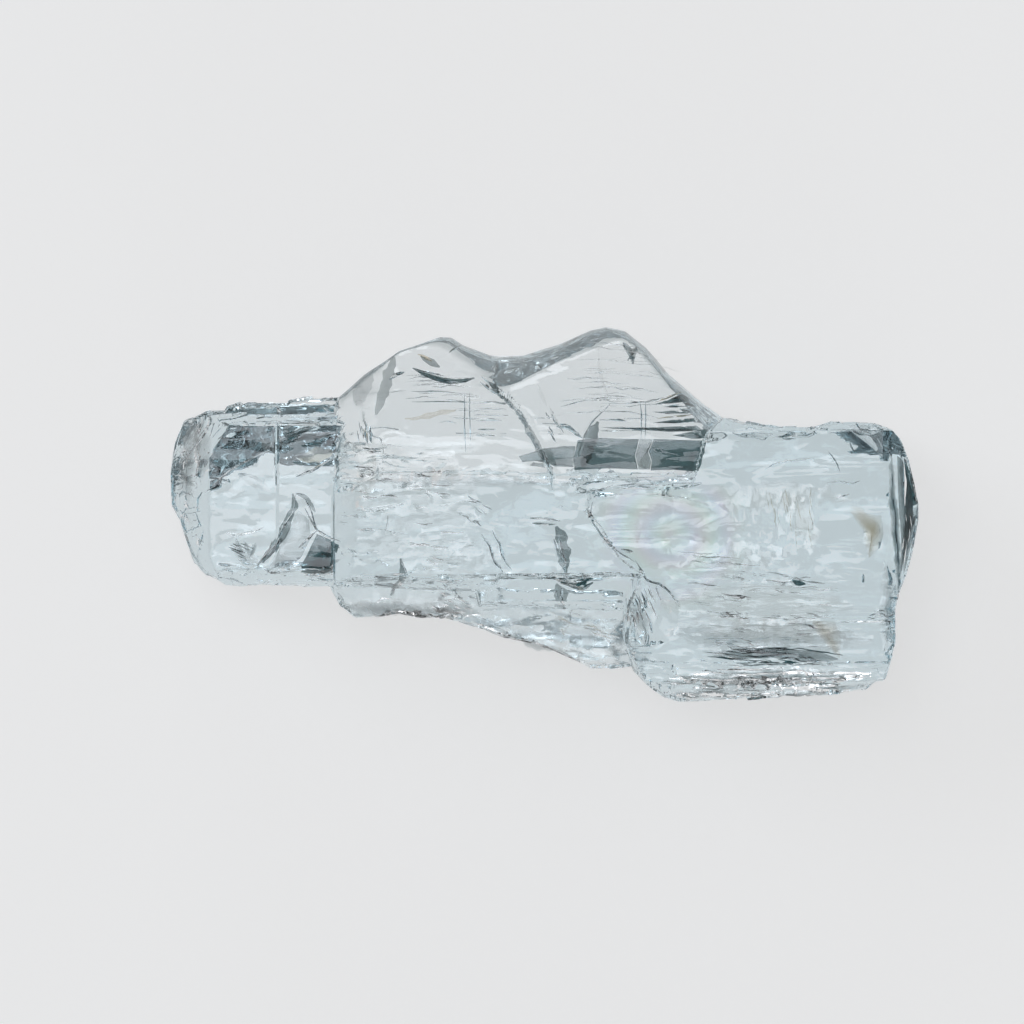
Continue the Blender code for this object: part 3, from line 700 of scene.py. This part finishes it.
        (0.5, 0.05, 0.2, -0.49, -0.28, (904, 530), [(912, 508), (909, 530), (902, 560), (898, 574),
         (897, 552), (901, 522), (906, 509)]),
        (0.4, 0.03, 0, -0.8, -0.5, (775, 652), [(712, 650), (740, 647), (780, 647), (815, 650),
         (838, 658), (810, 661), (775, 657), (735, 658)]),
        (0.4, 0.03, 0.2, -0.75, -0.55, (901, 512), [(892, 456), (897, 460), (903, 474), (907, 490),
         (908, 508), (906, 528), (900, 552), (896, 574), (896, 540), (893, 500)]),
        # its brown stains
        (0.35, 0.02, 0.3, 0.5, 0.1, (869, 530), [(846, 510), (862, 513), (878, 516), (880, 534),
         (877, 548), (865, 558), (868, 544), (860, 530), (852, 519)]),
        (0.35, 0.02, 0.3, 0.35, 0.05, (824, 634), [(807, 617), (832, 621), (838, 636), (837, 657),
         (826, 645), (814, 632)]),
    ],
    # scribbles: strokes, half width in pixels, depth, steepness, dullness, tint (rust above 0, painted shade
    # below 0), spread in pixels, length as a share of the route, and the route
    "scribbles": [
        (5, 1.6, 0.3, 66, 0, 0, 5, 0.6, [(556, 528), (560, 548), (565, 568)]),
        (4, 1.5, 0.4, 66, 0, 0, 5, 0.7, [(558, 582), (560, 592), (562, 603)]),
        (24, 1.1, 0.4, 20, 0, -1, 8, 0.35, [(706, 648), (750, 654), (790, 652), (842, 660)]),
        (10, 1.5, 0.5, 66, 0, 0, 8, 0.4, [(690, 646), (750, 653), (790, 652), (850, 662)]),
        (14, 1.3, 0.4, 20, 0.1, -0.84, 7, 0.2, [(664, 688), (720, 690), (800, 690), (874, 682)]),
        (10, 1.2, 0.4, 20, 0.2, -0.56, 9, 0.4, [(226, 545), (243, 551), (262, 560)]),
        (9, 1.2, 0.4, 30, 0, -1, 7, 0.6, [(286, 446), (302, 440), (322, 440), (336, 438)]),
        (7, 1.2, 0.5, 30, 0, -1, 5, 0.5, [(282, 443), (296, 435), (312, 430), (322, 430)]),
        (9, 1.0, 0.4, 66, 0, 0, 12, 0.4, [(462, 504), (478, 512), (492, 520)]),
        (8, 1.1, 0.4, 66, 0, 0, 6, 0.3, [(440, 575), (452, 584), (462, 594)]),
        (14, 1.3, 0.3, 42, 0, 0, 12, 0.2, [(434, 592), (456, 599), (480, 606)]),
        (12, 1.4, 0.4, 62, 0.2, -0.4, 12, 0.25, [(434, 592), (456, 599), (480, 608)]),
        (16, 1.4, 0.4, 30, 0.2, -0.6, 13, 0.2, [(664, 680), (740, 684), (870, 676)]),
        (8, 1.0, 0.4, 66, 0, 0, 7, 0.35, [(546, 412), (552, 426), (562, 440)]),
        (14, 1.4, 0.4, 66, 0.1, 0, 12, 0.4, [(628, 594), (636, 612), (642, 638)]),
        (12, 1.2, 0.3, 53, 0.1, 0, 14, 0.5, [(644, 584), (652, 604), (664, 630)]),
        (16, 0.9, 0.3, 66, 0, 0, 30, 0.22, [(690, 580), (760, 590), (840, 600)]),
        (14, 0.9, 0.4, 66, 0, 0, 22, 0.22, [(690, 610), (760, 622), (840, 626)]),
        (14, 0.6, 0.4, 30, 0, 0.35, 26, 0.4, [(790, 488), (794, 520), (798, 552)]),
        (10, 0.9, 0.3, 53, 0, 0, 26, 0.3, [(670, 575), (760, 582), (850, 590)]),
        (12, 1.0, 0.4, 50, 0.3, 0, 70, 0.2, [(345, 505), (410, 505), (480, 510)]),
        (14, 1.3, 0.3, 53, 0.1, 0, 60, 0.16, [(345, 500), (410, 505), (480, 512)]),
        (8, 1.1, 0.4, 66, 0, 0.6, 8, 0.6, [(366, 424), (367, 438), (367, 452)]),
        (10, 1.0, 0.4, 50, 0.3, 0.5, 22, 0.35, [(548, 625), (585, 636), (622, 648)]),
        (34, 0.6, 0.3, 35, 0, 0, 34, 0.5, [(556, 384), (600, 380), (640, 384), (690, 396)]),
        (22, 0.6, 0.3, 35, 0, 0, 24, 0.4, [(405, 402), (450, 400), (500, 406)]),
        (8, 1.2, 0.3, 50, 0.2, 0, 7, 0.4, [(326, 402), (334, 408), (346, 416)]),
        (9, 1.2, 0.4, 60, 0.2, 0, 12, 0.2, [(184, 500), (194, 530), (205, 570)]),
        (10, 0.8, 0.4, 40, 0.1, -0.56, 5, 0.3, [(900, 508), (904, 530), (898, 566)]),
    ],
}


def flawRings(halfWidth, depth, steep, waver, route, seed):
    # rings of points along the route. The half width follows the sine of the way along. The roof stands off
    # by what is left of it times the tangent of its steepness, the floor by a fifth of that, and noise
    # shifts each point
    route = np.array(route, float)
    length = np.concatenate([[0], np.cumsum(np.hypot(*np.diff(route, axis=0).T))])
    t = np.linspace(0, 1, max(6, int(length[-1] * flaws["samplesPerPixel"])))
    share = length / length[-1]
    x, y = place(np.interp(t, share, route[:, 0]), np.interp(t, share, route[:, 1]))
    along = np.gradient(np.stack([x, y], axis=-1), axis=0)
    along = along / np.linalg.norm(along, axis=1, keepdims=True)
    side = np.stack([-along[:, 1], along[:, 0]], axis=-1)
    way = t * length[-1] / 9
    width = halfWidth * pixel * np.sin(np.pi * np.clip(t, 0.03, 0.97)) ** 0.7
    width = width * (1 + 0.35 * lattice(2 * way, 0.5 + 0 * t, seed))
    across = np.array(flaws["across"])
    ring = np.arange(len(across))
    ways, rings = np.broadcast_arrays(3 * way[:, None], 3.0 * ring[None, :])
    offset = across[None, :] * width[:, None] * (1 + 0.2 * lattice(ways, rings, seed + 7))
    offset = offset + (waver * pixel * lattice(way, 4.5 + 0 * t, seed))[:, None]
    points = np.stack([x, y], axis=-1)[:, None] + side[:, None] * offset[..., None]
    stand = (1 - np.abs(across))[None, :] * width[:, None] * math.tan(math.radians(steep))
    stand = np.where(ring < flaws["roofPoints"], stand, -0.2 * stand)
    stand = stand * (1 + 0.18 * lattice(ways, rings, seed + 9))
    under = (-depth - width * math.tan(math.radians(steep)))[:, None]
    return np.concatenate([points, (under + stand)[..., None]], axis=-1)


def flawShells():
    # points, faces, dullness and tint of all flaws, with every face looking into its hollow
    tubes = []
    for seed, flaw in enumerate(flaws["lines"] + flaws["veils"]):
        halfWidth, depth, steep, dull, tint, waver, route = flaw
        rings = flawRings(halfWidth, depth, steep, waver, route, seed)
        tubes.append((rings, dull, tint, seed >= len(flaws["lines"])))
    for seed, scribble in enumerate(flaws["scribbles"]):
        count, halfWidth, depth, steep, dull, tint, spread, share, route = scribble
        dice = np.random.default_rng(100 + seed)
        route = np.array(route, float)
        steps = np.linspace(0, 1, len(route))
        for stroke in range(count):
            start = dice.uniform(0, 1 - share)
            t = np.linspace(start, start + share * dice.uniform(0.5, 1), 5)
            way = np.stack([np.interp(t, steps, route[:, 0]), np.interp(t, steps, route[:, 1])], axis=-1)
            across = way[-1] - way[0]
            across = np.array([-across[1], across[0]]) / np.hypot(*across)
            way = way + across * dice.uniform(-spread, spread)
            width, below = halfWidth * dice.uniform(0.4, 1), depth * dice.uniform(0.7, 1.6)
            rings = flawRings(width, below, steep, flaws["strokeWaver"], way, 1000 + 50 * seed + stroke)
            tubes.append((rings, dull, tint, False))
    points, faces, looks, total = [], [], [], 0
    for rings, dull, tint, fades in tubes:
        count = rings.shape[0] * rings.shape[1]
        index = total + np.arange(count).reshape(rings.shape[:2])
        after = np.roll(index, -1, axis=1)
        faces += np.stack([index[:-1], index[1:], after[1:], after[:-1]], axis=-1).reshape(-1, 4).tolist()
        faces += [index[0].tolist(), index[-1][::-1].tolist()]
        points.append(rings.reshape(-1, 3))
        soft = np.ones(rings.shape[:2])
        if fades:
            # a veil fades at its ends and edges
            ends = np.sin(np.linspace(0, np.pi, len(rings)))[:, None] ** 0.5
            soft = ends * (1 - np.array(flaws["across"]) ** 2)
        looks.append(np.stack([dull * soft, tint * soft], axis=-1).reshape(-1, 2))
        total += count
    # each point hangs from the front over it
    tubePoints = np.concatenate(points)
    tubePoints[:, 2] += frontHeight(tubePoints[:, 0], tubePoints[:, 1])
    points = [tubePoints]
    for depth, half, dull, tipTint, rimTint, tip, rim in flaws["facets"]:
        count = len(rim)
        x, y = place(*np.array([*rim, tip, tip], float).T)
        front = frontHeight(x, y)
        z = np.concatenate([np.zeros(count), [half, -half]]) - depth + np.minimum(front, front[-1])
        for i in range(count):
            j = (i + 1) % count
            faces += [[total + i, total + j, total + count], [total + j, total + i, total + count + 1]]
        points.append(np.stack([x, y, z], axis=-1))
        looks.append(np.array([[dull, rimTint]] * count + [[dull, tipTint]] * 2))
        total += count + 2
    return np.concatenate(points), faces, np.concatenate(looks)


# The fin's steep rims carry painted shade, a dark blue-grey for the darkening of a glass edge that bends
# light away. Each pair is where the tint starts and where it is full: the height of the normal with its sign
# turned, and the place in mm
finRims = {"upright": (-0.85, -0.55), "y": (3.3, 3.9), "z": (4.2, 4.6), "paintedShade": 0.55}


def joined(name, thin, points, faces, looks):
    # one mesh of the thinned surface with its frost, and the flaws inside it
    count = len(thin.vertices)
    outer = np.empty(count * 3)
    thin.vertices.foreach_get("co", outer)
    frost = np.zeros(count)
    thin.attributes["frost"].data.foreach_get("value", frost)
    corners = np.empty(len(thin.loops), np.int64)
    thin.loops.foreach_get("vertex_index", corners)
    sizes = np.empty(len(thin.polygons), np.int64)
    thin.polygons.foreach_get("loop_total", sizes)
    inner = np.concatenate([np.array(face) for face in faces]) + count
    made = buildMesh(
        name, np.concatenate([outer.reshape(-1, 3), points * mm]), np.concatenate([corners, inner]),
        np.concatenate([sizes, [len(face) for face in faces]]),
    )
    upright = np.empty(count * 3)
    thin.vertices.foreach_get("normal", upright)
    y, z = outer[1::3] / mm, outer[2::3] / mm
    # painted shade on the fin's steep rims, where the normal turns down
    paintedRimShade = smooth(*finRims["upright"], -upright[2::3]) * smooth(*finRims["y"], y) * smooth(*finRims["z"], z)
    frost = np.concatenate([frost, looks[:, 0]])
    tint = np.concatenate([-finRims["paintedShade"] * paintedRimShade, looks[:, 1]])
    for layer, values in (("frost", frost), ("rust", np.maximum(tint, 0)), ("paintedShade", np.maximum(-tint, 0))):
        made.attributes.new(layer, "FLOAT", "POINT").data.foreach_set("value", values)
    return made


def addNode(tree, kind, settings=None, **links):
    # adds a node: settings are its values or its sockets' values, links are sockets that feed it
    node = tree.nodes.new(kind)
    for key, value in (settings or {}).items():
        if isinstance(key, int) or key in node.inputs:
            node.inputs[key].default_value = value
        else:
            setattr(node, key, value)
    for key, source in links.items():
        tree.links.new(source, node.inputs[key])
    return node


def colour(hexValue):
    # sRGB hex to linear
    parts = [int(hexValue[i:i + 2], 16) / 255 for i in (1, 3, 5)]
    return tuple(c / 12.92 if c <= 0.04045 else ((c + 0.055) / 1.055) ** 2.4 for c in parts) + (1.0,)


# Natural beryl, cleaved and etched: clear, and pale blue where light goes through more of it
berylLook = {
    "ior": 1.575,
    "roughness": (0.03, 0.4),       # on clean cleaved faces, and where etching left it fully dull
    "rust": "#b9a060",
    # painted shade: a dark blue-grey that dim cracks, facets and the fin's rims are tinted with, in place of
    # the darkness that bent light gives
    "paintedShade": "#3a5c60",
    "body": "#b8e3ef",              # what is left of white light on the way through
    "density": 60,
    # painted iridescence: rings of faint rainbow where a crack lies just under the front, its interference
    # colours painted into the base colour, mm
    "ringsAt": (4.2, -0.7),
    "ringWidth": 1.1,
    "ringsFade": (2.9, 1.8),        # where they start and where they are strongest
    "rainbow": 0.022,               # the strongest saturation
}


def beryl():
    material = bpy.data.materials.new("aquamarine beryl")
    material.use_nodes = True
    tree = material.node_tree
    shader = tree.nodes["Principled BSDF"]
    out = tree.nodes["Material Output"]
    shader.inputs["IOR"].default_value = berylLook["ior"]
    shader.inputs["Transmission Weight"].default_value = 1.0
    frost = addNode(tree, "ShaderNodeAttribute", {"attribute_name": "frost"})
    glassy, etched = berylLook["roughness"]
    span = {"To Min": glassy, "To Max": etched}
    dull = addNode(tree, "ShaderNodeMapRange", span, Value=frost.outputs["Fac"])
    tree.links.new(dull.outputs[0], shader.inputs["Roughness"])
    rust = addNode(tree, "ShaderNodeAttribute", {"attribute_name": "rust"})
    rustColour, paintedShadeColour = colour(berylLook["rust"]), colour(berylLook["paintedShade"])
    rusty = addNode(tree, "ShaderNodeMix", {"data_type": "RGBA", 6: (1, 1, 1, 1), 7: rustColour})
    tree.links.new(rust.outputs["Fac"], rusty.inputs[0])
    # painted shade: this attribute mixes the base colour towards the dark blue-grey
    paintedShade = addNode(tree, "ShaderNodeAttribute", {"attribute_name": "paintedShade"})
    paintedShadeMix = addNode(tree, "ShaderNodeMix", {"data_type": "RGBA", 7: paintedShadeColour})
    tree.links.new(paintedShade.outputs["Fac"], paintedShadeMix.inputs[0])
    tree.links.new(rusty.outputs[2], paintedShadeMix.inputs[6])
    # painted iridescence: the rainbow's hue is what is left of the distance from its middle over a ring's
    # width
    onObject = addNode(tree, "ShaderNodeTexCoord")
    level = addNode(tree, "ShaderNodeVectorMath", {"operation": "MULTIPLY", 1: (1, 1, 0)})
    tree.links.new(onObject.outputs["Object"], level.inputs[0])
    ringsX, ringsY = berylLook["ringsAt"]
    away = addNode(tree, "ShaderNodeVectorMath", {"operation": "DISTANCE", 1: (ringsX * mm, ringsY * mm, 0)})
    tree.links.new(level.outputs[0], away.inputs[0])
    turns = addNode(tree, "ShaderNodeMath", {"operation": "MULTIPLY", 1: 1 / (berylLook["ringWidth"] * mm)})
    tree.links.new(away.outputs["Value"], turns.inputs[0])
    hue = addNode(tree, "ShaderNodeMath", {"operation": "FRACT"})
    tree.links.new(turns.outputs[0], hue.inputs[0])
    outer, full = berylLook["ringsFade"]
    reach = {"From Min": outer * mm, "From Max": full * mm, "To Max": berylLook["rainbow"]}
    fade = addNode(tree, "ShaderNodeMapRange", reach, Value=away.outputs["Value"])
    rainbow = addNode(tree, "ShaderNodeCombineColor", {"mode": "HSV", "Blue": 1.0}, Red=hue.outputs[0],
                      Green=fade.outputs[0])
    paintedIridescence = addNode(tree, "ShaderNodeMix", {"data_type": "RGBA", "blend_type": "MULTIPLY", 0: 1.0})
    tree.links.new(paintedShadeMix.outputs[2], paintedIridescence.inputs[6])
    tree.links.new(rainbow.outputs[0], paintedIridescence.inputs[7])
    tree.links.new(paintedIridescence.outputs[2], shader.inputs["Base Color"])
    body = {"Color": colour(berylLook["body"]), "Density": berylLook["density"]}
    volume = addNode(tree, "ShaderNodeVolumeAbsorption", body)
    tree.links.new(volume.outputs[0], out.inputs["Volume"])
    return material


surface = castSurface()
print("surface cast")
normals = gridNormals(surface)
surface = surface + normals * relief(surface, normals)[..., None]
surface = np.clip(surface, *(np.array(corner) / mm for corner in cadBox))
frost = frostOf(surface, normals)
print("relief made")
mesh = gridMesh("crystalSurface", surface)
frost = np.concatenate([frost.ravel(), [0, 0]])
mesh.attributes.new("frost", "FLOAT", "POINT").data.foreach_set("value", frost)
piece = bpy.data.objects.new("crystalSurface", mesh)
bpy.context.scene.collection.objects.link(piece)
decimate = piece.modifiers.new("thin", "DECIMATE")
decimate.ratio = crystal["triangles"] / (2 * len(mesh.polygons))
bpy.context.view_layer.update()
thin = bpy.data.meshes.new_from_object(piece.evaluated_get(bpy.context.evaluated_depsgraph_get()))
piece.modifiers.clear()
print("thinned to", len(thin.polygons), "triangles")
piece.data = joined("crystalSurface", thin, *flawShells())
piece.data.materials.append(beryl())
piece.data.shade_smooth()
piece.data.set_sharp_from_angle(angle=math.radians(crystal["sharpAngle"]))
print("flaws added,", len(piece.data.loops) - 2 * len(piece.data.polygons), "triangles in all")
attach(piece, "root")
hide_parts("aquamarine_crystal")


# The stage: an opal sheet lit from below, and soft lamps above it
stage = {
    "flatRadius": 0.6,          # m
    "wallRadius": 0.5,
    "wallTurn": 1.2,            # how far the sheet curves up, in radians
    "rings": (12, 14),          # on its flat part and on its wall
    "sides": 96,
    "sheetGlow": 0.575,
    "sheetGrey": 0.5,
    "surround": 0.2,
    "lampTint": (0.93, 0.98, 1.05),
    "lamps": {
        # position in m, side in m, power in W
        "near": ((-0.07, 0.09, 0.55), 0.2, 0.32),
        "side": ((-0.55, 0.35, 0.45), 0.45, 0.9),
        "lowLeft": ((-0.1, 0.8, 0.12), 0.3, 0.8),
        "lowRight": ((0.1, -0.8, 0.12), 0.3, 0.8),
    },
}


def sheetMesh():
    # rings round the middle: flat out to the wall, then up along a circle's arc
    flatRings, wallRings = stage["rings"]
    turn = np.linspace(0.1, stage["wallTurn"], wallRings)
    flat = np.linspace(0.02, stage["flatRadius"], flatRings)
    r = np.concatenate([flat, stage["flatRadius"] + stage["wallRadius"] * np.sin(turn)])[:, None]
    h = np.concatenate([np.zeros(flatRings), stage["wallRadius"] * (1 - np.cos(turn))])[:, None]
    a = np.linspace(0, 2 * np.pi, stage["sides"], endpoint=False)
    points = np.stack(np.broadcast_arrays(r * np.cos(a), r * np.sin(a), h), axis=-1)
    index = np.arange(points.shape[0] * stage["sides"]).reshape(-1, stage["sides"])
    after = np.roll(index, -1, axis=1)
    quads = np.stack([index[:-1], index[1:], after[1:], after[:-1]], axis=-1).reshape(-1, 4)
    mesh = bpy.data.meshes.new("opalSheet")
    mesh.from_pydata(points.reshape(-1, 3).tolist(), [], quads.tolist() + [index[0].tolist()])
    mesh.shade_smooth()
    return mesh


def opalSheet():
    # opal acrylic, cast and matt: an even glow with no gloss
    material = bpy.data.materials.new("opal sheet")
    material.use_nodes = True
    shader = material.node_tree.nodes["Principled BSDF"]
    shader.inputs["Base Color"].default_value = (stage["sheetGrey"],) * 3 + (1,)
    shader.inputs["Roughness"].default_value = 0.9
    shader.inputs["Specular IOR Level"].default_value = 0.0
    shader.inputs["Emission Color"].default_value = (1, 1, 1, 1)
    shader.inputs["Emission Strength"].default_value = stage["sheetGlow"]
    material.cycles.emission_sampling = "NONE"
    return material


floor = bpy.data.objects.new("opalSheet", sheetMesh())
bpy.context.scene.collection.objects.link(floor)
floor.data.materials.append(opalSheet())

scene = bpy.context.scene
world = bpy.data.worlds.new("studio")
scene.world = world
world.use_nodes = True
world.cycles.sampling_method = "NONE"
world.node_tree.nodes["Background"].inputs["Color"].default_value = (stage["surround"],) * 3 + (1,)

for name, (where, side, power) in stage["lamps"].items():
    area = bpy.data.lights.new(name, "AREA")
    area.size = side
    area.energy = power
    area.color = stage["lampTint"]
    lamp = bpy.data.objects.new(name, area)
    lamp.location = where
    lamp.rotation_euler = Vector(where).to_track_quat("Z", "Y").to_euler()
    scene.collection.objects.link(lamp)

# The camera looks straight down from so far that the picture has hardly any perspective. All in mm but pixels
view = {"lens": 400, "sensor": 36, "pixels": 1024, "middle": (-1.06, 0.05), "height": 3.7}
lens = bpy.data.cameras.new("camera")
lens.lens = view["lens"]
lens.sensor_width = view["sensor"]
camera = bpy.data.objects.new("camera", lens)
scene.collection.objects.link(camera)
middleX, middleY = view["middle"]
away = view["pixels"] * pixel / view["sensor"] * view["lens"]
camera.location = (middleX * mm, middleY * mm, (away + view["height"]) * mm)
scene.camera = camera
scene.view_settings.view_transform = "Standard"
print("stage set")
